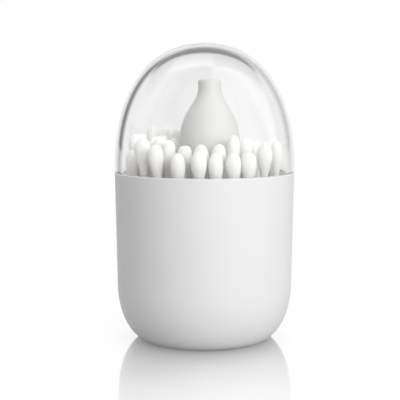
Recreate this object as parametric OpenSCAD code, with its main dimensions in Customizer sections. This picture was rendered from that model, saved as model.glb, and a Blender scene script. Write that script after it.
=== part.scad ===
// Cotton swab holder: a white moulded cup, a clear domed lid that drops into its rim, a hollow
// bottle-shaped post that stands in the middle, and cotton swabs standing in rings round the post.
// The origin is the middle of the foot, on the table, with +Z up and the front towards -Y.

/* [Cup] */
// Outer diameter at the rim, shared by the cup and the lid
rim_d = 70; // [64:0.5:80]
// Height of the rim above the table
cup_h = 65.4; // [60:0.1:70]
// How much the outer radius shrinks from the rim down to the rounded bottom
wall_draft = 0.75; // [0.2:0.05:1.5]
// Diameter of the flat foot
foot_d = 45; // [40:0.5:50]
// Height of the rounded bottom corner
corner_h = 21.8; // [16:0.1:26]
// Thickness of the cup's wall
cup_wall = 1.8; // [1.4:0.1:2.6]
// Thickness of the cup's floor
floor_t = 3; // [2.4:0.1:4]
// Diameter of the shallow recess under the foot
recess_d = 36; // [30:0.5:38]
// Depth of that recess
recess_depth = 0.8; // [0.4:0.1:1.2]
// Rounding of the edges where the cup and the lid meet
rim_round = 0.35; // [0.2:0.05:0.5]

/* [Lid] */
// Height of the dome above the rim
lid_h = 49.7; // [46:0.1:56]
// Fullness of the dome's outline, 2 being an ellipse
dome_power = 2.28; // [2:0.02:2.6]
// Thickness of the dome at its crown
crown_t = 3.3; // [2.4:0.1:4.5]
// Depth of the spigot that drops into the cup
spigot_h = 4; // [2.5:0.1:6]
// Thickness of the spigot
spigot_t = 0.9; // [0.7:0.05:1.4]
// Radial clearance between the spigot's lower edge and the cup
spigot_clear = 0.15; // [0.1:0.01:0.3]

/* [Centre post] */
// Diameter of the post's body
post_d = 24; // [21:0.1:25]
// Diameter of the post's neck
neck_d = 9; // [8:0.1:11]
// Length of the straight neck
neck_h = 3.1; // [2:0.1:5]
// Height of the shoulder curve between the neck and the body
shoulder_h = 24.4; // [20:0.1:28]
// Thickness of the post's wall
post_wall = 1.6; // [1.2:0.1:2]
// Rounding of the edge at the top of the neck
neck_round = 0.8; // [0.4:0.1:1]
// Space left between the top of the post and the inside of the dome
post_headroom = 10.5; // [6:0.1:14]
// How far to the right of the cup's middle the loose post stands
post_shift = 2; // [0:0.1:2.4]

/* [Swabs] */
// Length of a swab from tip to tip
swab_len = 72.5; // [70:0.5:78]
// How much longer or shorter than that a swab can be
length_spread = 1.6; // [0.2:0.1:2]
// Diameter of the stick
stick_d = 2.4; // [2:0.1:2.8]
// Diameter of a cotton bud at its widest
bud_d = 5; // [4.4:0.1:5.4]
// Length of a cotton bud, from its tip to where it ends on the stick
bud_len = 14; // [11:0.5:17]
// Distance from a bud's tip to its widest place
bud_nose = 5; // [3:0.25:6]
// Gap between the buds of the outer ring where they stand on the floor
swab_gap = 1.2; // [0.4:0.05:1.6]
// Gap between the buds of an inner ring where they stand on the floor
inner_gap = 0.4; // [0.3:0.05:0.8]
// Least gap that stays between the upper buds of one ring, however they lean
lean_gap = 0.3; // [0.2:0.05:0.6]
// Gap between two rings where they stand on the floor
ring_gap = 0.4; // [0.3:0.05:0.7]
// Further gap between two rings at the upper tips, because the swabs fan out
fan_gap = 0.7; // [0.4:0.1:1]
// How far the outer ring stands out on the rounded corner at least, past the flat floor
foot_climb = 1.5; // [0.5:0.1:2]
// How much further out on the corner, and so higher, some of the outer ring stand
climb_spread = 5; // [2:0.1:5.5]
// How much higher than the floor an inner swab can be wedged between its neighbours
wedge_lift = 4.4; // [1:0.1:5]
// Clearance between the upper buds and the lid
lid_clear = 0.45; // [0.3:0.05:0.8]
// Clearance between the swabs and the post
post_clear = 0.3; // [0.2:0.05:0.6]
// Width of the place left free at the back, where swabs have been taken out
free_w = 10; // [8:0.5:12]

/* [Hidden] */
$fn = 96;
swab_facets = 48;
corner_steps = 14;
dome_steps = 24;
shoulder_steps = 18;
round_steps = 3;
nose_steps = 5;
tail_steps = 6;
ring_total = 3;
// Gap under a swab's lower tip, and beside it where it leans on the rounded corner
seat_gap = 0.05;
corner_gap = 0.12;
// Length that the tip of a swab can stand back from the lid
reach_spread = 0.55;
// Slope at the two ends of the shoulder curve, as shares of its height
neck_bend_share = 0.29;
body_bend_share = 0.69;
// Even turn of each ring from its lower to its upper tips, in degrees, outer ring first
ring_twist = [-3, 5, -9];
// Place of each ring's first swab, as a share of the step between its swabs
ring_start_shares = [-0.2, 0.5, 0.5];
// Places of the outer ring whose swabs have been taken out, counted from the front round to the right
taken_places = [5, 20];
// How the swabs of the outer ring stand, lean and differ, as shares of the room for each, place by place;
// a swab beside a taken place, or whose neighbour leans the same way, can lean further
climb_shares = [0, 0, 0, 0, 0.3, 0, 0.3, 0, 0.1, 0.2, 0, 0.15,
    0.3, 0.85, 0.95, 0.88, 1, 0.6, 0.75, 0, 0, 0.7, 0.2, 0];
outer_lean_shares = [1, -0.8, -2.2, -3.6, -2.6, 0, -1.5, 0.4, -0.7, 0.8, -0.3, 0.6,
    -0.9, 0.5, 0.8, -0.9, -1.2, 0.7, -0.8, 0.3, 0, -2.2, -1.5, 0.6];
outer_length_shares = [-0.3, -1, -0.8, -0.9, 0.5, 0, 0.3, -0.2, -0.5, -0.3, 0.1, -0.6,
    0, 0.3, -0.3, 0.5, 0, 0.8, 0.2, -1, 0, 0, 0.3, -1];
// The same for the inner rings, used in turn
wedge_shares = [0.16, 1, 0.9, 0.08, 0, 0, 0.08, 0, 0, 0.08, 0,
    0.24, 0.4, 0.72, 0.56, 0.4, 0.64, 0.68, 0.64, 0.08, 0.24];
inner_lean_shares = [1, 0.4, -0.2, -0.9, -0.6, 0, -1.5, 0.4, -0.7, 0.8, -0.3,
    0.6, -0.9, 0.5, -0.6, 0.9, -0.4, 0.7, -0.8, 0.3, 0];
inner_length_shares = [0.6, 0.2, -0.4, 0.5, -0.1, 0.4, 0.3];
reach_shares = [0.2, 0.9, 0, 0.6, 0.1, 1, 0.4, 0.7];

rim_r = rim_d / 2;
wall_r = rim_r - wall_draft;
foot_r = foot_d / 2;
rim_in_r = rim_r - cup_wall;
spigot_r = rim_in_r - wall_draft * spigot_h / (cup_h - corner_h) - spigot_clear;
lid_in_r = spigot_r - spigot_t;
dome_in_h = lid_h - crown_t;
post_r = post_d / 2;
neck_r = neck_d / 2;
post_top = cup_h + dome_in_h - post_headroom;
neck_z = post_top - neck_h;
body_z = neck_z - shoulder_h;
bud_r = bud_d / 2;
stick_r = stick_d / 2;

// Corner of a rounded edge: points of a quarter circle from one angle to another
function edge_round(centre, r, from, to) =
    [for (i = [0:round_steps]) let (a = from + (to - from) * i / round_steps)
        centre + r * [cos(a), sin(a)]];

// Rounded bottom corner: a quarter ellipse from the foot up to the straight wall
function corner(radius, height, base) =
    [for (i = [0:corner_steps]) let (a = 90 * i / corner_steps)
        [foot_r + (radius - foot_r) * sin(a), base + height * (1 - cos(a))]];

// Dome outline: a quarter superellipse from the rim up to the crown
function dome(radius, height, first) =
    [for (i = [first:dome_steps]) let (a = 90 * i / dome_steps)
        [radius * pow(cos(a), 2 / dome_power), cup_h + height * pow(sin(a), 2 / dome_power)]];

// Shoulder of the post: a cubic curve that leaves the neck and meets the body upright
function shoulder(neck, body) =
    [for (i = [0:shoulder_steps]) let (t = i / shoulder_steps, u = 1 - t)
        [neck * (u * u * u + 3 * u * u * t) + body * (3 * u * t * t + t * t * t),
         neck_z - shoulder_h * (3 * u * u * t * neck_bend_share
             + 3 * u * t * t * (1 - body_bend_share) + t * t * t)]];

// One end of a swab: an elliptical nose, then a tail that eases down to the stick, from the tip inwards
function bud() = concat(
    [for (i = [0:nose_steps]) let (a = 90 * i / nose_steps) [bud_r * sin(a), bud_nose * (1 - cos(a))]],
    [for (i = [1:tail_steps]) let (t = i / tail_steps)
        [stick_r + (bud_r - stick_r) * (1 + cos(180 * t)) / 2, bud_nose + (bud_len - bud_nose) * t]]);

function flip(points) = [for (i = [len(points) - 1:-1:0]) points[i]];

module cup() {
    color("whitesmoke") rotate_extrude() polygon(concat(
        [[0, recess_depth], [recess_d / 2 - recess_depth, recess_depth], [recess_d / 2, 0]],
        corner(wall_r, corner_h, 0),
        edge_round([rim_r - rim_round, cup_h - rim_round], rim_round, 0, 90),
        edge_round([rim_in_r + rim_round, cup_h - rim_round], rim_round, 90, 180),
        flip(corner(wall_r - cup_wall, corner_h - floor_t, floor_t)),
        [[0, floor_t]]));
}

module lid() {
    color("azure", 0.35) rotate_extrude() polygon(concat(
        [[lid_in_r, cup_h - spigot_h], [spigot_r - rim_round, cup_h - spigot_h]],
        [[spigot_r, cup_h - spigot_h + rim_round], [spigot_r, cup_h]],
        edge_round([rim_r - rim_round, cup_h + rim_round], rim_round, -90, 0),
        dome(rim_r, lid_h, 1),
        flip(dome(lid_in_r, dome_in_h, 0))));
}

module centre_post() {
    color("ivory") translate([post_shift, 0, 0]) rotate_extrude() polygon(concat(
        [[0, post_top]],
        flip(edge_round([neck_r - neck_round, post_top - neck_round], neck_round, 0, 90)),
        shoulder(neck_r, post_r),
        [[post_r, floor_t], [post_r - post_wall, floor_t]],
        flip(shoulder(neck_r - post_wall, post_r - post_wall)),
        [[neck_r - post_wall, post_top - post_wall], [0, post_top - post_wall]]));
}

module swab(length) {
    upper = [for (p = flip(bud())) [p[0], length - p[1]]];
    color("snow") rotate_extrude($fn = swab_facets) polygon(concat(bud(), upper));
}

// Height of the inside of the cup above its flat floor, at a distance from the middle
function floor_rise(r) = r < foot_r ? 0 :
    (corner_h - floor_t) * (1 - sqrt(1 - pow((r - foot_r) / (wall_r - cup_wall - foot_r), 2)));

// Lift of a lower tip that stands at a distance from the middle, so that its nose clears the corner
function foot_lift(r) = seat_gap
    + max([for (p = bud()) if (p[1] < bud_nose) floor_rise(r + p[0] + corner_gap) - p[1]]);

// Inside radius of the lid at a height, where the dome has begun to close in
function lid_room(z) = lid_in_r * pow(1 - pow(max(z - cup_h, 0) / dome_in_h, dome_power), 1 / dome_power);

// Distance of each ring from the middle, at the lower and at the upper tips, at its closest
corner_r = foot_r + foot_climb;
highest_tip = floor_t + foot_lift(corner_r + climb_spread) + swab_len + length_spread;
function ring_foot_r(k) = corner_r - k * (bud_d + ring_gap);
function tip_r_under(z, k) = lid_room(z) - lid_clear - bud_r - k * (bud_d + ring_gap + fan_gap);
function ring_tip_r(k) = tip_r_under(highest_tip, k) - reach_spread;
function ring_count(k) =
    floor(180 / asin((bud_d + (k == 0 ? swab_gap : inner_gap)) / 2 / min(ring_foot_r(k), ring_tip_r(k))));

// Room for an upper tip to lean sideways out of its even place before it meets the next one
function lean_room(k) = max(0, ring_tip_r(k) * sin(180 / ring_count(k)) - (bud_d + lean_gap) / 2);

// Length of one swab, the place of its lower tip, and the place that its upper tip leans to
function pick(shares, i) = shares[i % len(shares)];
function place(r, a, z) = [r * cos(a), r * sin(a), z];
function length_at(k, i) =
    swab_len + length_spread * (k == 0 ? pick(outer_length_shares, i) : pick(inner_length_shares, i));
function foot_angle(k, i) = -90 + (i + ring_start_shares[k]) * 360 / ring_count(k);
function foot_at(k, i) =
    let (r = ring_foot_r(k) + (k == 0 ? climb_spread * pick(climb_shares, i) : 0),
         wedged = k == 0 ? 0 : wedge_lift * pick(wedge_shares, i))
    place(r, foot_angle(k, i), floor_t + foot_lift(r) + wedged);
function tip_at(k, i) =
    let (z = foot_at(k, i)[2] + length_at(k, i),
         r = tip_r_under(k == 0 ? z : highest_tip, k) - reach_spread * pick(reach_shares, i),
         lean = lean_room(k) * pick(k == 0 ? outer_lean_shares : inner_lean_shares, i),
         turn = ring_twist[k] + asin(lean / r))
    place(r, foot_angle(k, i) + turn, z);

// A swab stands only where it clears the post, outside the free place at the back, and where none was taken
function from_post(p) = norm([p[0] - post_shift, p[1]]);
function clears_post(k, i) =
    min(from_post(foot_at(k, i)), from_post(tip_at(k, i))) > post_r + bud_r + post_clear;
function in_free_place(p, k) = k > 0 && p[1] > 0 && abs(p[0]) < free_w / 2 + bud_r;
function is_taken(k, i) = k == 0 && len([for (n = taken_places) if (n == i) n]) > 0;
swabs = [for (k = [0:ring_total - 1]) for (i = [0:ring_count(k) - 1])
    if (clears_post(k, i) && !in_free_place(foot_at(k, i), k) && !is_taken(k, i)) [k, i]];

module standing_swab(k, i) {
    foot = foot_at(k, i);
    lean = tip_at(k, i) - foot;
    translate(foot)
        rotate([0, atan2(norm([lean[0], lean[1]]), lean[2]), atan2(lean[1], lean[0])])
            swab(length_at(k, i));
}

function swab_name(n) = str("swab_", n < 9 ? "0" : "", n + 1);
cup();
lid();
centre_post();
for (n = [0:len(swabs) - 1])
    standing_swab(swabs[n][0], swabs[n][1]);
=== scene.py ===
"""Finished surfaces of a cotton swab holder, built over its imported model, on a plain pale stage.

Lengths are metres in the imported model's frame: the origin is the middle of the foot on the table,
+Z is up and the front faces -Y.
"""

import math

import bpy
import numpy as np
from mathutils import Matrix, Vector


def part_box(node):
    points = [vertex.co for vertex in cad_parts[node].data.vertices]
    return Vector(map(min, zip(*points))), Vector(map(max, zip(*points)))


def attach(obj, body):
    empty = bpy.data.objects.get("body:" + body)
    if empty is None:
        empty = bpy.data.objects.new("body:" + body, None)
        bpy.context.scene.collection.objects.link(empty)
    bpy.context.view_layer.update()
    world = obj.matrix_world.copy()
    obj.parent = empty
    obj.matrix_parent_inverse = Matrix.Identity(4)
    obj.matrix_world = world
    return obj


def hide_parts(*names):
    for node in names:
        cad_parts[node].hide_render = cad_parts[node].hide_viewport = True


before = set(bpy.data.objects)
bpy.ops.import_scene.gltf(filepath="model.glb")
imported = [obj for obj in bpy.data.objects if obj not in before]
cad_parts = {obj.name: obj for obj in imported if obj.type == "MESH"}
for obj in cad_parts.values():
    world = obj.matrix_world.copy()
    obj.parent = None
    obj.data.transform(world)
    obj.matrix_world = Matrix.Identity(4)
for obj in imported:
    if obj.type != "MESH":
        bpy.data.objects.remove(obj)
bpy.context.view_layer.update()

bl_info = {
    "name": "Cotton swab holder",
    "version": (1, 0, 0),
    "blender": (4, 5, 0),
    "location": "3D View > Sidebar > Swab holder",
    "description": "Builds the cup, clear lid, centre post and swabs of a cotton swab holder, and its stage",
    "category": "Add Mesh",
}

CUP_LOW, CUP_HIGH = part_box("cup")
LID_LOW, LID_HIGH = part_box("lid")
POST_LOW, POST_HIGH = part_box("centre_post")
SWAB_NODES = sorted(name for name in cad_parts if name.startswith("swab_"))

CUP_SEGMENTS, LID_SEGMENTS, POST_SEGMENTS, SWAB_SEGMENTS, TABLE_SEGMENTS = 192, 256, 128, 28, 96
TABLE_RADIUS, TABLE_RINGS = 0.75, 12
SENSOR_WIDTH = 36
LAMP_TARGET = (0, 0, 0.06)

# Swells of the wound cotton, each as its weight, its lobes round the bud and its twist along it
COTTON_SWELLS = ((1, 2, 4), (0.7, 3, -6), (0.5, 1, 11))
# Seed of the first swab's chance, and how far apart the swabs lie in the pattern of their fibres
FIRST_SEED, PATTERN_STEP = 100, 0.05
# Share of the bud's length past which the bare paper shows
PAPER_FROM = 0.92


# Properties


def length(name, description, millimetres):
    """A size property whose default is written in millimetres."""
    return bpy.props.FloatProperty(
        name=name,
        description=description,
        default=millimetres / 1000,
        min=0,
        unit="LENGTH",
        subtype="DISTANCE",
    )


def share(name, description, default):
    """A property between 0 and 1."""
    return bpy.props.FloatProperty(
        name=name, description=description, default=default, min=0, max=1, subtype="FACTOR"
    )


def colour(name, description, default):
    """A colour property, in linear values."""
    return bpy.props.FloatVectorProperty(
        name=name, description=description, default=default, size=3, min=0, max=1, subtype="COLOR"
    )


class HolderSizes(bpy.types.PropertyGroup):
    """Sizes of the cup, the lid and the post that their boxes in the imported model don't give."""

    wall_draft: length("Wall draft", "How far the wall comes in from the rim to the rounded bottom", 0.75)
    foot_diameter: length("Foot", "Diameter of the flat foot", 45)
    corner_height: length("Corner height", "Height of the rounded bottom corner", 21.8)
    cup_wall: length("Cup wall", "Thickness of the cup's wall", 1.8)
    floor_thickness: length("Cup floor", "Thickness of the cup's floor", 3)
    recess_diameter: length("Recess", "Diameter of the shallow recess under the foot", 36)
    recess_depth: length("Recess depth", "Depth of the recess under the foot", 0.8)
    edge_round: length("Edge rounding", "Rounding of the edges where the cup and the lid meet", 0.35)
    dome_power: bpy.props.FloatProperty(
        name="Dome fullness",
        description="Power of the dome's outline, 2 being an ellipse",
        default=2.28,
        min=1,
    )
    crown_thickness: length("Crown", "Thickness of the dome at its crown", 3.3)
    spigot_thickness: length("Spigot", "Thickness of the spigot that drops into the cup", 0.9)
    spigot_clearance: length("Spigot clearance", "Radial room between the spigot and the cup", 0.15)
    lid_seat: length("Lid seat", "Hair gap between the lid and the rim that it rests on", 0.04)
    neck_diameter: length("Neck", "Diameter of the post's neck", 9)
    neck_height: length("Neck height", "Length of the post's straight neck", 3.1)
    neck_round: length("Neck rounding", "Rounding of the edge at the top of the neck", 0.8)
    shoulder_height: length("Shoulder", "Height of the curve between the neck and the body", 24.4)
    post_wall: length("Post wall", "Thickness of the post's wall", 1.6)
    neck_bend: share("Neck bend", "Pull of the shoulder curve where it leaves the neck", 0.29)
    body_bend: share("Body bend", "Pull of the shoulder curve where it meets the body", 0.69)


class SwabSizes(bpy.types.PropertyGroup):
    """Sizes that all swabs share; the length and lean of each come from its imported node."""

    stick_diameter: length("Stick", "Diameter of the stick", 2.4)
    bud_diameter: length("Bud", "Diameter of a cotton bud at its widest", 5)
    bud_length: length("Bud length", "From the bud's tip to where it ends on the stick", 14)
    bud_nose: length("Bud nose", "From the bud's tip to its widest place", 5)
    unevenness: share("Unevenness", "How far the cotton swells and dips, as a share of its radius", 0.05)
    girth_spread: share("Girth spread", "How much fuller than the rest an upper bud can be", 0.15)
    tip_spread: share("Tip spread", "How much blunter than round the tip of an upper bud can be", 0.9)


class HolderColours(bpy.types.PropertyGroup):
    """Colours of the finishes."""

    cup: colour("Cup", "Matt white plastic of the cup", (0.757, 0.75, 0.753))
    lid: colour("Lid", "Tint of the clear lid", (0.997, 0.999, 0.998))
    post: colour("Post", "Satin off-white plastic of the post", (0.722, 0.725, 0.7))
    cotton: colour("Cotton", "Cotton buds", (0.968, 0.958, 0.922))
    stick: colour("Stick", "Tan paper of the sticks", (0.86, 0.69, 0.56))
    table: colour("Table", "Pale glossy table", (0.95, 0.95, 0.95))


class StageSettings(bpy.types.PropertyGroup):
    """Camera, lamps and surroundings."""

    camera_place: bpy.props.FloatVectorProperty(
        name="Camera",
        description="Place of the camera",
        default=(-0.00174, -0.370, 0.0944),
        size=3,
        subtype="XYZ",
    )
    camera_pitch: bpy.props.FloatProperty(
        name="Pitch", description="How far the camera looks down", default=math.radians(6.2), subtype="ANGLE"
    )
    camera_lens: bpy.props.FloatProperty(
        name="Lens", description="Focal length on a 36 mm sensor, in millimetres", default=85.2, min=10
    )
    key_power: bpy.props.FloatProperty(
        name="Key lamp", description="Power of the lamp at the front right, in watts", default=7.45, min=0
    )
    top_power: bpy.props.FloatProperty(
        name="Top lamp", description="Power of the lamp overhead, in watts", default=2.9, min=0
    )
    edge_power: bpy.props.FloatProperty(
        name="Edge lamp", description="Power of the lamp behind on the left, in watts", default=1.5, min=0
    )
    back_power: bpy.props.FloatProperty(
        name="Back lamp", description="Power of the lamp high behind, in watts", default=5.5, min=0
    )
    ambient: share("Ambient", "Strength of the light from all round", 0.26)


# Surfaces


def corner_outline(foot_radius, wall_radius, height, base, steps=48):
    """Quarter ellipse from the flat foot up to the wall: the radius grows with the sine of the angle
    and the height with one less its cosine."""
    angle = np.linspace(0, math.pi / 2, steps + 1)
    radius = foot_radius + (wall_radius - foot_radius) * np.sin(angle)
    return np.column_stack((radius, base + height * (1 - np.cos(angle))))


def edge_outline(centre, radius, start, end, steps=8):
    """Arc of a rounded edge about a centre, from one angle to another in degrees."""
    angle = np.radians(np.linspace(start, end, steps + 1))
    return np.asarray(centre) + radius * np.column_stack((np.cos(angle), np.sin(angle)))


def dome_outline(radius, base, height, power, steps=96):
    """Quarter superellipse from the rim to the crown: the radius follows the cosine and the height the
    sine of the angle, each raised to 2 over the power."""
    angle = np.linspace(0, math.pi / 2, steps + 1)
    across = radius * np.clip(np.cos(angle), 0, None) ** (2 / power)
    return np.column_stack((across, base + height * np.sin(angle) ** (2 / power)))


def shoulder_outline(neck_radius, body_radius, top, height, neck_bend, body_bend, steps=48):
    """Cubic curve from the body up to the neck, upright at both ends: its inner control points stand
    over the ends at shares of the height."""
    t = np.linspace(1, 0, steps + 1)
    u = 1 - t
    radius = neck_radius * (u**3 + 3 * u**2 * t) + body_radius * (3 * u * t**2 + t**3)
    fall = 3 * u**2 * t * neck_bend + 3 * u * t**2 * (1 - body_bend) + t**3
    return np.column_stack((radius, top - height * fall))


def bud_outline(stick_radius, bud_radius, nose, whole, power=2.0, nose_steps=14, tail_steps=16):
    """One end of a swab from its tip inwards: a quarter superellipse, whose sine and cosine are raised to
    2 over the power, then half a cosine wave down to the stick."""
    angle = np.linspace(0, math.pi / 2, nose_steps + 1)
    fall = 1 - np.clip(np.cos(angle), 0, None) ** (2 / power)
    tip = np.column_stack((bud_radius * np.sin(angle) ** (2 / power), nose * fall))
    t = np.linspace(0, 1, tail_steps + 1)[1:]
    swell = (1 + np.cos(math.pi * t)) / 2
    radius = stick_radius + (bud_radius - stick_radius) * swell
    tail = np.column_stack((radius, nose + (whole - nose) * t))
    return np.vstack((tip, tail))


def turned(outline, segments):
    """Surface of revolution of an outline that starts and ends on the axis: each of its points is one
    row of a grid, its radius carried round the upright axis, and the two ends are single points.

    Returns the points, the grid's four-sided faces, and the triangles that close it at the two poles.
    """
    rows = len(outline) - 2
    turn = np.linspace(0, 2 * math.pi, segments, endpoint=False)
    radius, height = outline[1:-1, :1], outline[1:-1, 1:]
    grid = np.stack(
        np.broadcast_arrays(radius * np.cos(turn), radius * np.sin(turn), height), axis=-1
    ).reshape(-1, 3)
    poles = np.column_stack((np.zeros((2, 2)), outline[[0, -1], 1]))
    here = np.arange(rows * segments).reshape(rows, segments)
    beside = np.roll(here, -1, axis=1)
    quads = np.stack((here[:-1], beside[:-1], beside[1:], here[1:]), axis=-1).reshape(-1, 4)
    first, last = np.full(segments, rows * segments), np.full(segments, rows * segments + 1)
    start_cap = np.column_stack((first, beside[0], here[0]))
    end_cap = np.column_stack((last, here[-1], beside[-1]))
    return np.vstack((grid, poles)), quads, np.vstack((start_cap, end_cap))


def add_piece(node, body, slot, points, quads, caps, materials, sharp_angle=35):
    """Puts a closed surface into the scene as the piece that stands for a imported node."""
    mesh = bpy.data.meshes.new(f"{node}_surface")
    mesh.from_pydata(points.tolist(), [], [*quads.tolist(), *caps.tolist()])
    mesh.shade_smooth()
    mesh.set_sharp_from_angle(angle=math.radians(sharp_angle))
    for material in materials:
        mesh.materials.append(material)
    piece = bpy.data.objects.new(f"{node}_finished", mesh)
    bpy.context.scene.collection.objects.link(piece)
    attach(piece, body)
    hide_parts(node)
    return piece


# Finishes


def new_tree(name):
    """An empty material and its node tree."""
    material = bpy.data.materials.new(name)
    material.use_nodes = True
    material.node_tree.nodes.clear()
    return material, material.node_tree


def add_node(tree, kind, inputs=None, **settings):
    """A shader node with its settings; an input is a value or another node's output."""
    node = tree.nodes.new(f"ShaderNode{kind}")
    for name, value in settings.items():
        setattr(node, name, value)
    for socket, value in (inputs or {}).items():
        if isinstance(value, bpy.types.NodeSocket):
            tree.links.new(value, node.inputs[socket])
        else:
            node.inputs[socket].default_value = value
    return node


def add_output(tree, shader):
    """The material's output, showing a shader."""
    return add_node(tree, "OutputMaterial", {"Surface": shader.outputs[0]})


def mix_shaders(tree, factor, first, second):
    """A blend of two shaders, all of the first where the factor is nought."""
    return add_node(tree, "MixShader", {0: factor, 1: first.outputs[0], 2: second.outputs[0]})


def math_node(tree, operation, first, second, third=0.0):
    """The result of a Math node."""
    return add_node(tree, "Math", {0: first, 1: second, 2: third}, operation=operation).outputs[0]


def noise(tree, place, scale, detail=2.0, roughness=0.5):
    """A cloud of noise, with so many features to the metre."""
    sockets = {"Vector": place, "Scale": scale, "Detail": detail, "Roughness": roughness}
    return add_node(tree, "TexNoise", sockets).outputs["Fac"]


def spread(tree, value, low, high, from_low=0.3, from_high=0.7):
    """A value stretched from one range to another."""
    sockets = {"Value": value, "From Min": from_low, "From Max": from_high, "To Min": low, "To Max": high}
    return add_node(tree, "MapRange", sockets).outputs["Result"]


def two_tones(tree, value, dark, light, low=0.3, high=0.7):
    """A colour that goes from a dark tone to a light one with a value."""
    ramp = add_node(tree, "ValToRGB", {"Fac": value})
    ramp.color_ramp.elements[0].position, ramp.color_ramp.elements[1].position = low, high
    ramp.color_ramp.elements[0].color = (*dark, 1)
    ramp.color_ramp.elements[1].color = (*light, 1)
    return ramp.outputs["Color"]


def bump(tree, height, distance, strength=1.0, normal=None):
    """A normal roughened by a height, over so many metres."""
    sockets = {"Height": height, "Distance": distance, "Strength": strength}
    if normal is not None:
        sockets["Normal"] = normal
    return add_node(tree, "Bump", sockets).outputs["Normal"]


def toned(shade, factor):
    """A colour made darker by a factor."""
    return tuple(channel * factor for channel in shade)


def moulded_plastic(name, shade, low_gloss, high_gloss, grain):
    """Opaque moulded plastic: a fine grain, a faint cloudiness in tone and a roughness that wanders."""
    material, tree = new_tree(name)
    place = add_node(tree, "TexCoord").outputs["Object"]
    cloud = noise(tree, place, 60, 3)
    sockets = {
        "Base Color": two_tones(tree, cloud, toned(shade, 0.985), shade),
        "Roughness": spread(tree, noise(tree, place, 240, 4), low_gloss, high_gloss),
        "IOR": 1.46,
        "Normal": bump(tree, noise(tree, place, 5200, 3), grain, 0.5),
    }
    add_output(tree, add_node(tree, "BsdfPrincipled", sockets))
    return material


def clear_plastic(name, shade):
    """Clear moulded plastic, faintly wavy, which lets the lamps' light through to what it covers."""
    material, tree = new_tree(name)
    place = add_node(tree, "TexCoord").outputs["Object"]
    sockets = {
        "Base Color": (*shade, 1),
        "Roughness": spread(tree, noise(tree, place, 120, 2), 0.0, 0.012),
        "IOR": 1.49,
        "Transmission Weight": 1.0,
        "Normal": bump(tree, noise(tree, place, 55, 1), 0.0004, 0.08),
    }
    solid = add_node(tree, "BsdfPrincipled", sockets)
    open_air = add_node(tree, "BsdfTransparent", {"Color": (*shade, 1)})
    path = add_node(tree, "LightPath")
    passing = math_node(tree, "MAXIMUM", path.outputs["Is Shadow Ray"], path.outputs["Is Diffuse Ray"])
    add_output(tree, mix_shaders(tree, passing, solid, open_air))
    return material


def wound_cotton(name, shade):
    """Cotton wound round a stick: soft fibres across it, small lumps, and a sheen of loose ends."""
    material, tree = new_tree(name)
    place = add_node(tree, "Attribute", attribute_name="swab_place").outputs["Vector"]
    across = add_node(tree, "Mapping", {"Vector": place, "Rotation": (0.5, 0, 0), "Scale": (1, 1, 3.5)})
    fibres = noise(tree, across.outputs["Vector"], 2600, 5, 0.65)
    lumps = noise(tree, place, 520, 2)
    rough = bump(tree, fibres, 0.00012, 0.7, bump(tree, lumps, 0.0004, 0.5))
    sockets = {
        "Base Color": two_tones(tree, fibres, toned(shade, 0.94), shade),
        "Roughness": spread(tree, lumps, 0.82, 0.95),
        "IOR": 1.4,
        "Subsurface Weight": 0.85,
        "Subsurface Radius": (1, 0.95, 0.88),
        "Subsurface Scale": 0.008,
        "Diffuse Roughness": 1.0,
        "Sheen Weight": 0.25,
        "Sheen Roughness": 0.5,
        "Normal": rough,
    }
    add_output(tree, add_node(tree, "BsdfPrincipled", sockets))
    return material


def rolled_paper(name, shade):
    """Paper rolled into a stick: long fibres and a faint spiral edge."""
    material, tree = new_tree(name)
    place = add_node(tree, "Attribute", attribute_name="swab_place").outputs["Vector"]
    along = add_node(tree, "Mapping", {"Vector": place, "Rotation": (0.35, 0, 0), "Scale": (1, 1, 0.2)})
    fibres = noise(tree, along.outputs["Vector"], 3800, 4, 0.6)
    sockets = {
        "Base Color": two_tones(tree, fibres, toned(shade, 0.9), shade),
        "Roughness": spread(tree, fibres, 0.6, 0.75),
        "Normal": bump(tree, fibres, 0.00004, 0.5),
    }
    add_output(tree, add_node(tree, "BsdfPrincipled", sockets))
    return material


# Stage


def seen_flag(tree):
    """One for what the picture, gloss and clear plastic see, and nought for light on rough surfaces."""
    path = add_node(tree, "LightPath").outputs
    bounced = math_node(tree, "MAXIMUM", path["Is Glossy Ray"], path["Is Transmission Ray"])
    return math_node(tree, "MAXIMUM", path["Is Camera Ray"], bounced)


def glossy_table(name, shade):
    """White polished table: it keeps the object's contact shadow and mirrors it, both fading with the
    distance from the middle, and is plain white beyond, or as pale as the wall when seen through the lid."""
    material, tree = new_tree(name)
    place = add_node(tree, "TexCoord").outputs["Object"]
    distance = add_node(tree, "VectorMath", {0: place}, operation="LENGTH").outputs["Value"]
    tone = two_tones(tree, noise(tree, place, 30, 2), toned(shade, 0.985), shade)
    bounced = add_node(tree, "BsdfDiffuse", {"Color": (*toned(shade, 0.5), 1)})
    matt = add_node(tree, "BsdfDiffuse", {"Color": tone})
    blur = spread(tree, noise(tree, place, 90, 3), 0.06, 0.09)
    mirror = add_node(tree, "BsdfAnisotropic", {"Color": (1, 1, 1, 1), "Roughness": blur})
    behind_lid = add_node(tree, "LightPath").outputs["Is Transmission Ray"]
    level = spread(tree, behind_lid, 1.0, 0.85, from_low=0.0, from_high=1.0)
    white = add_node(tree, "Emission", {"Color": (1, 1, 1, 1), "Strength": level})
    shadow_share = spread(tree, distance, 0.5, 0.0, from_low=0.03, from_high=0.07)
    mirror_share = spread(tree, distance, 0.66, 0.0, from_low=0.033, from_high=0.115)
    top = mix_shaders(tree, mirror_share, mix_shaders(tree, shadow_share, white, matt), mirror)
    add_output(tree, mix_shaders(tree, seen_flag(tree), bounced, top))
    return material


def grows(tree, value, start, end):
    """Nought up to a start and one past an end, with an even slope between."""
    return spread(tree, value, 0.0, 1.0, from_low=start, from_high=end)


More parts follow.
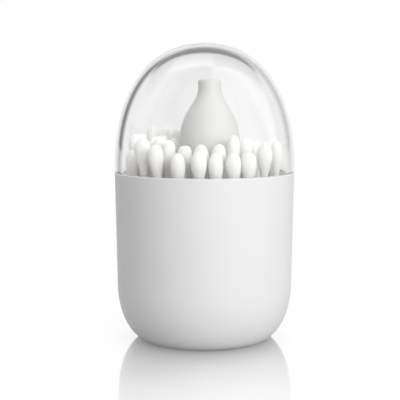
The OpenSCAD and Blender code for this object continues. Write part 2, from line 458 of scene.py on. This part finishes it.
def falls(tree, value, start, end):
    """One up to a start and nought past an end, with an even slope between."""
    return spread(tree, value, 1.0, 0.0, from_low=start, from_high=end)


def times(tree, first, second):
    """The product of two values."""
    return math_node(tree, "MULTIPLY", first, second)


def window(tree, value, low, high, soft):
    """One between two values and nought outside them, with soft edges so wide."""
    return times(tree, grows(tree, value, low - soft, low), falls(tree, value, high, high + soft))


def dimmed(tree, strength, place, loss):
    """A strength that loses a share of itself at a place of the surroundings, where the place is one."""
    return times(tree, strength, spread(tree, place, 1.0, 1.0 - loss, from_low=0.0, from_high=1.0))


def bright_panels(tree, turn, rise):
    """One on the two bright panels of the wall, at the right and high in the middle."""
    right = times(
        tree,
        window(tree, turn, low=0.035, high=0.25, soft=0.02),
        window(tree, rise, low=-1.0, high=0.18, soft=0.008),
    )
    upper = times(
        tree,
        window(tree, turn, low=-0.13, high=0.03, soft=0.02),
        window(tree, rise, low=0.18, high=0.4, soft=0.02),
    )
    return math_node(tree, "MAXIMUM", right, upper)


def dark_hoop(tree, off_middle, hoop_turn, rise):
    """How dark a hoop is: a ring about its middle, black at the left, grey at the right and fainter low
    down."""
    ring = times(tree, grows(tree, off_middle, 0.29, 0.45), falls(tree, off_middle, 0.59, 0.77))
    left = spread(tree, hoop_turn, 1.0, 0.4, from_low=-0.42, from_high=-0.22)
    right = spread(tree, hoop_turn, 1.0, 0.96, from_low=-0.2, from_high=0.5)
    low_down = spread(tree, rise, 0.55, 1.0, from_low=-0.014, from_high=-0.002)
    return times(tree, ring, times(tree, times(tree, left, right), low_down))


def seen_through_lid(tree, axes, depth):
    """Strength of the surroundings to clear plastic: a pale wall with bright panels, shaded towards the
    sides, and a dark ceiling behind, whose edge is higher at the sides. Light that stays within the lid's
    wall, and so passes only two surfaces, also sees three dark hoops round the object, which draw the
    dome's edge."""
    rise = axes["Z"]
    turn = math_node(tree, "ARCTAN2", axes["X"], axes["Y"])
    hoop_turn = math_node(tree, "WRAP", turn, math.pi / 3, -math.pi / 3)
    square = math_node(tree, "MULTIPLY_ADD", hoop_turn, hoop_turn, times(tree, rise, rise))
    off_middle = math_node(tree, "SQRT", square, 0.0)
    in_wall = math_node(tree, "LESS_THAN", depth, 2.5)

    wall = spread(tree, bright_panels(tree, turn, rise), 0.895, 1.0, from_low=0.0, from_high=1.0)
    sides = grows(tree, off_middle, 0.16, 0.4)
    aside = math_node(tree, "ABSOLUTE", turn, 0.0)
    edge = spread(tree, aside, 0.0, 0.05, from_low=0.0, from_high=0.25)
    over_edge = math_node(tree, "SUBTRACT", rise, edge)
    ceiling = times(tree, grows(tree, over_edge, 0.42, 0.5), grows(tree, axes["Y"], 0.2, 0.4))
    hoops = times(tree, in_wall, dark_hoop(tree, off_middle, hoop_turn, rise))
    lit = dimmed(tree, dimmed(tree, wall, sides, loss=0.08), ceiling, loss=0.7)
    return dimmed(tree, lit, hoops, loss=1.0)


def surroundings(ambient):
    """World that is white to the picture, even to rough surfaces, white behind and paler in front to gloss,
    and a studio wall to clear plastic."""
    world = bpy.data.worlds.new("studio")
    world.use_nodes = True
    world.cycles.sampling_method = "NONE"
    tree = world.node_tree
    tree.nodes.clear()
    direction = add_node(tree, "TexCoord").outputs["Generated"]
    axes = add_node(tree, "SeparateXYZ", {"Vector": direction}).outputs
    path = add_node(tree, "LightPath").outputs

    through = seen_through_lid(tree, axes, path["Transmission Depth"])
    in_gloss = spread(tree, axes["Y"], 0.9, 1.0, from_low=-0.3, from_high=0.1)
    opaque = math_node(tree, "MAXIMUM", in_gloss, path["Is Camera Ray"])
    shown = add_node(tree, "Mix", {0: path["Is Transmission Ray"], 2: opaque, 3: through}).outputs[0]
    seen = add_node(tree, "Background", {"Color": (1, 1, 1, 1), "Strength": shown})
    glow = add_node(tree, "Background", {"Color": (1, 1, 1, 1), "Strength": ambient})
    mixed = mix_shaders(tree, path["Is Diffuse Ray"], seen, glow)
    add_node(tree, "OutputWorld", {"Surface": mixed.outputs[0]})
    return world


def add_softbox(name, place, size, power):
    """A rectangular lamp turned towards the object, which lights rough surfaces and shows nowhere itself."""
    lamp = bpy.data.lights.new(name, "AREA")
    lamp.shape = "RECTANGLE"
    lamp.size, lamp.size_y = size
    lamp.energy = power
    softbox = bpy.data.objects.new(name, lamp)
    softbox.location = place
    softbox.rotation_euler = (Vector(LAMP_TARGET) - Vector(place)).to_track_quat("-Z", "Y").to_euler()
    softbox.visible_camera = False
    softbox.visible_glossy = False
    softbox.visible_transmission = False
    bpy.context.scene.collection.objects.link(softbox)
    return softbox


def round_table(radius, rings, segments):
    """Flat disc at the height of the foot: a grid of rings about its middle point, wider apart outwards."""
    ring = np.linspace(0, 1, rings + 1)[1:] ** 2 * radius
    turn = np.linspace(0, 2 * math.pi, segments, endpoint=False)
    grid = np.stack(
        np.broadcast_arrays(ring[:, None] * np.cos(turn), ring[:, None] * np.sin(turn), 0.0), axis=-1
    ).reshape(-1, 3)
    here = np.arange(len(grid)).reshape(len(ring), segments)
    beside = np.roll(here, -1, axis=1)
    quads = np.stack((here[:-1], here[1:], beside[1:], beside[:-1]), axis=-1).reshape(-1, 4)
    hub = np.column_stack((np.full(segments, len(grid)), here[0], beside[0]))
    mesh = bpy.data.meshes.new("table_surface")
    mesh.from_pydata([*grid.tolist(), (0.0, 0.0, 0.0)], [], [*quads.tolist(), *hub.tolist()])
    table = bpy.data.objects.new("table", mesh)
    bpy.context.scene.collection.objects.link(table)
    return table


# Operators


class SWABHOLDER_OT_cup(bpy.types.Operator):
    """Build the cup: a white moulding with a rounded bottom, a slight draft and a plain rim"""

    bl_idname = "swab_holder.cup"
    bl_label = "Cup"

    def execute(self, context):
        s = context.scene.holder_sizes
        rim, top, foot = CUP_HIGH.x, CUP_HIGH.z, s.foot_diameter / 2
        wall, inside, edge = rim - s.wall_draft, rim - s.cup_wall, s.edge_round
        recess = s.recess_diameter / 2
        outline = np.vstack(
            (
                [(0, s.recess_depth), (recess - s.recess_depth, s.recess_depth), (recess, 0)],
                corner_outline(foot, wall, s.corner_height, 0),
                edge_outline((rim - edge, top - edge), edge, 0, 90),
                edge_outline((inside + edge, top - edge), edge, 90, 180),
                corner_outline(
                    foot, wall - s.cup_wall, s.corner_height - s.floor_thickness, s.floor_thickness
                )[::-1],
                [(0, s.floor_thickness)],
            )
        )
        shade = context.scene.holder_colours.cup
        finish = moulded_plastic("matt_white_plastic", shade, low_gloss=0.5, high_gloss=0.58, grain=0.00001)
        add_piece("cup", "cup", "cup_white", *turned(outline, CUP_SEGMENTS), [finish])
        return {"FINISHED"}


class SWABHOLDER_OT_lid(bpy.types.Operator):
    """Build the lid: a thick clear dome with a thin spigot that drops into the cup's rim"""

    bl_idname = "swab_holder.lid"
    bl_label = "Lid"

    def execute(self, context):
        s = context.scene.holder_sizes
        rim, edge, power = LID_HIGH.x, s.edge_round, s.dome_power
        base, bottom = CUP_HIGH.z, LID_LOW.z
        seat, height = base + s.lid_seat, LID_HIGH.z - base
        taper = s.wall_draft * (base - bottom) / (base - s.corner_height)
        spigot = rim - s.cup_wall - taper - s.spigot_clearance
        inside = spigot - s.spigot_thickness
        outline = np.vstack(
            (
                dome_outline(inside, base, height - s.crown_thickness, power)[::-1],
                [(inside, bottom), (spigot - edge, bottom), (spigot, bottom + edge), (spigot, seat)],
                edge_outline((rim - edge, seat + edge), edge, -90, 0),
                dome_outline(rim, base, height, power)[2:],
            )
        )
        finish = clear_plastic("clear_plastic", context.scene.holder_colours.lid)
        add_piece("lid", "lid", "lid_clear", *turned(outline, LID_SEGMENTS), [finish])
        return {"FINISHED"}


class SWABHOLDER_OT_post(bpy.types.Operator):
    """Build the centre post: a hollow bottle shape that stands on the cup's floor"""

    bl_idname = "swab_holder.post"
    bl_label = "Centre post"

    def execute(self, context):
        s = context.scene.holder_sizes
        body, neck = (POST_HIGH.x - POST_LOW.x) / 2, s.neck_diameter / 2
        foot, top, wall = POST_LOW.z, POST_HIGH.z, s.post_wall
        curve = (top - s.neck_height, s.shoulder_height, s.neck_bend, s.body_bend)
        outline = np.vstack(
            (
                [(0, top - wall), (neck - wall, top - wall)],
                shoulder_outline(neck - wall, body - wall, *curve)[::-1],
                [(body - wall, foot), (body, foot)],
                shoulder_outline(neck, body, *curve),
                edge_outline((neck - s.neck_round, top - s.neck_round), s.neck_round, 0, 90),
                [(0, top)],
            )
        )
        points, *faces = turned(outline, POST_SEGMENTS)
        points[:, 0] += (POST_LOW.x + POST_HIGH.x) / 2
        shade = context.scene.holder_colours.post
        finish = moulded_plastic("satin_off_white", shade, low_gloss=0.34, high_gloss=0.42, grain=0.000006)
        add_piece("centre_post", "cup", "post_white", points, *faces, [finish])
        return {"FINISHED"}


class SWABHOLDER_OT_swabs(bpy.types.Operator):
    """Build the cotton swabs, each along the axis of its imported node"""

    bl_idname = "swab_holder.swabs"
    bl_label = "Cotton swabs"

    def execute(self, context):
        if not SWAB_NODES:
            raise RuntimeError("the packed model has no swabs")
        colours = context.scene.holder_colours
        finishes = [wound_cotton("wound_cotton", colours.cotton), rolled_paper("rolled_paper", colours.stick)]
        for number, name in enumerate(SWAB_NODES):
            self.add_swab(context.scene.swab_sizes, number, name, finishes)
        return {"FINISHED"}

    @staticmethod
    def node_axis(name):
        """Lower and upper tip of a packed swab: its two furthest points along its longest direction."""
        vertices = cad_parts[name].data.vertices
        points = np.empty(3 * len(vertices))
        vertices.foreach_get("co", points)
        points = points.reshape(-1, 3)
        longest = np.linalg.eigh(np.cov(points.T))[1][:, -1]
        along = points @ (longest * math.copysign(1, longest[2]))
        return points[along.argmin()], points[along.argmax()]

    def add_swab(self, s, number, name, finishes):
        """One swab: a turned outline whose buds swell and dip with three waves round and along them, the
        upper one more or less blunt and full, carried onto the swab's own axis."""
        foot, tip = self.node_axis(name)
        whole = np.linalg.norm(tip - foot)
        chance = np.random.default_rng(FIRST_SEED + number)
        phase = chance.uniform(0, 2 * math.pi, len(COTTON_SWELLS))
        bluntness = 2 + s.tip_spread * chance.uniform()
        fullness = 1 + s.girth_spread * chance.uniform()
        stick, girth = s.stick_diameter / 2, s.bud_diameter / 2
        lower = bud_outline(stick, girth, s.bud_nose, s.bud_length)
        upper = bud_outline(stick, girth * fullness, s.bud_nose, s.bud_length, bluntness)
        outline = np.vstack((lower, (upper * (1, -1) + (0, whole))[::-1]))
        points, quads, caps = turned(outline, SWAB_SEGMENTS)

        turn = np.arctan2(points[:, 1], points[:, 0])
        height = points[:, 2] / s.bud_length
        waves = sum(
            weight * np.sin(lobes * turn + start + twist * height)
            for (weight, lobes, twist), start in zip(COTTON_SWELLS, phase)
        ) / sum(weight for weight, lobes, twist in COTTON_SWELLS)
        from_end = np.minimum(points[:, 2], whole - points[:, 2])
        in_bud = np.clip(1 - from_end / s.bud_length, 0, 1) ** 0.5
        points[:, :2] *= (1 + s.unevenness * waves * in_bud)[:, None]

        upright = (tip - foot) / whole
        aside = np.cross(upright, (0, 1, 0))
        aside /= np.linalg.norm(aside)
        axes = np.stack((aside, np.cross(upright, aside), upright))
        placed = foot + points @ axes
        piece = add_piece(name, "cup", "swab_cotton", placed, quads, caps, finishes, sharp_angle=60)

        own_place = points + (PATTERN_STEP * number, 0, 0)
        attribute = piece.data.attributes.new("swab_place", "FLOAT_VECTOR", "POINT")
        attribute.data.foreach_set("vector", own_place.ravel())
        on_stick = from_end[quads].min(axis=1) > PAPER_FROM * s.bud_length
        paper = np.concatenate((on_stick, np.zeros(len(caps), bool)))
        piece.data.polygons.foreach_set("material_index", paper.astype(np.int32))
        piece.data.update()


class SWABHOLDER_OT_stage(bpy.types.Operator):
    """Set up the camera, the lamps, the table and the white surroundings"""

    bl_idname = "swab_holder.stage"
    bl_label = "Stage"

    def execute(self, context):
        scene, s = context.scene, context.scene.stage_settings
        lens = bpy.data.cameras.new("camera")
        lens.sensor_width, lens.lens = SENSOR_WIDTH, s.camera_lens
        camera = bpy.data.objects.new("camera", lens)
        camera.location = s.camera_place
        camera.rotation_euler = (math.pi / 2 - s.camera_pitch, 0, 0)
        scene.collection.objects.link(camera)
        scene.camera = camera

        table = round_table(TABLE_RADIUS, TABLE_RINGS, TABLE_SEGMENTS)
        table.data.materials.append(glossy_table("glossy_table", scene.holder_colours.table))

        add_softbox("key_softbox", (0.45, -0.75, 0.35), size=(0.8, 0.6), power=s.key_power)
        add_softbox("top_softbox", (0, -0.2, 1), size=(0.8, 0.8), power=s.top_power)
        add_softbox("edge_softbox", (-0.8, 0.45, 0.3), size=(0.6, 0.6), power=s.edge_power)
        add_softbox("back_softbox", (0, 0.7, 0.7), size=(0.8, 0.6), power=s.back_power)
        scene.world = surroundings(s.ambient)
        scene.view_settings.view_transform = "Standard"
        return {"FINISHED"}


class SWABHOLDER_PT_panel(bpy.types.Panel):
    """Sizes, colours and build buttons of the swab holder"""

    bl_idname = "SWABHOLDER_PT_panel"
    bl_label = "Swab holder"
    bl_space_type = "VIEW_3D"
    bl_region_type = "UI"
    bl_category = "Swab holder"

    def draw(self, context):
        for group in GROUPS:
            box = self.layout.box()
            settings = getattr(context.scene, group)
            for name in settings.bl_rna.properties.keys():
                if name not in {"rna_type", "name"}:
                    box.prop(settings, name)
        for operator in OPERATORS:
            self.layout.operator(operator.bl_idname)


GROUPS = {
    "holder_sizes": HolderSizes,
    "swab_sizes": SwabSizes,
    "holder_colours": HolderColours,
    "stage_settings": StageSettings,
}
OPERATORS = (
    SWABHOLDER_OT_cup,
    SWABHOLDER_OT_lid,
    SWABHOLDER_OT_post,
    SWABHOLDER_OT_swabs,
    SWABHOLDER_OT_stage,
)


def register():
    """Registers the classes and hangs the property groups on the scene."""
    for cls in (*GROUPS.values(), *OPERATORS, SWABHOLDER_PT_panel):
        bpy.utils.register_class(cls)
    for name, group in GROUPS.items():
        setattr(bpy.types.Scene, name, bpy.props.PointerProperty(type=group))


def unregister():
    """Takes the property groups off the scene and unregisters the classes."""
    for name in GROUPS:
        delattr(bpy.types.Scene, name)
    for cls in (SWABHOLDER_PT_panel, *reversed(OPERATORS), *reversed(GROUPS.values())):
        bpy.utils.unregister_class(cls)


def main():
    """Builds every piece and the stage."""
    register()
    bpy.ops.swab_holder.cup()
    bpy.ops.swab_holder.lid()
    bpy.ops.swab_holder.post()
    bpy.ops.swab_holder.swabs()
    bpy.ops.swab_holder.stage()


if __name__ == "__main__":
    main()
